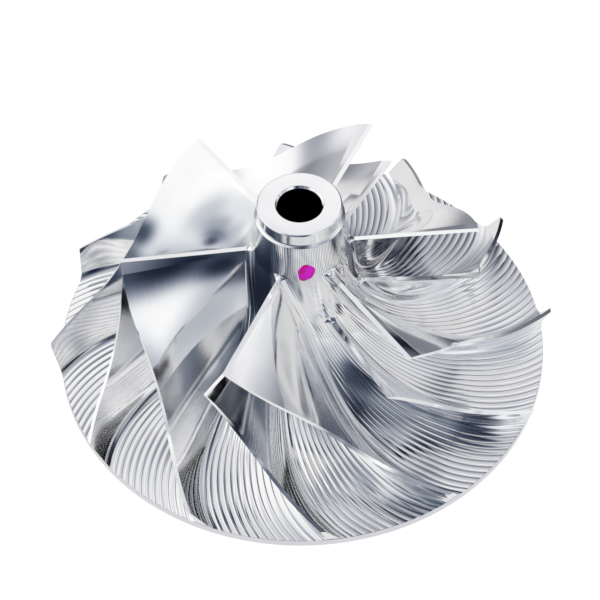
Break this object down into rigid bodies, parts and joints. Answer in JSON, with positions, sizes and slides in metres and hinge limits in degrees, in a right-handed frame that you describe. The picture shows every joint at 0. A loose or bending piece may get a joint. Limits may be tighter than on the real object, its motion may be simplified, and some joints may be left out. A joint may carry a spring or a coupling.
{
  "type": "compressor wheel",
  "caption": "Milled aluminium radial compressor wheel with full and splitter blades, a turned nose and a plain shaft bore.",
  "frame": {"origin": "centre of the boss face that seats on the shaft's shoulder", "axes": "+Z along the bore towards the inlet; the leading edge of one full blade lies on +X"},
  "size_m": [0.0704, 0.0704, 0.0316],
  "materials": {
    "milled_aluminium": "bright milled blades and hub, turned nose, rim and blade edges, magenta paint dab on the nose"
  },
  "bodies": {
    "root": {"compressor_wheel": "milled_aluminium"}
  },
  "joints": []
}
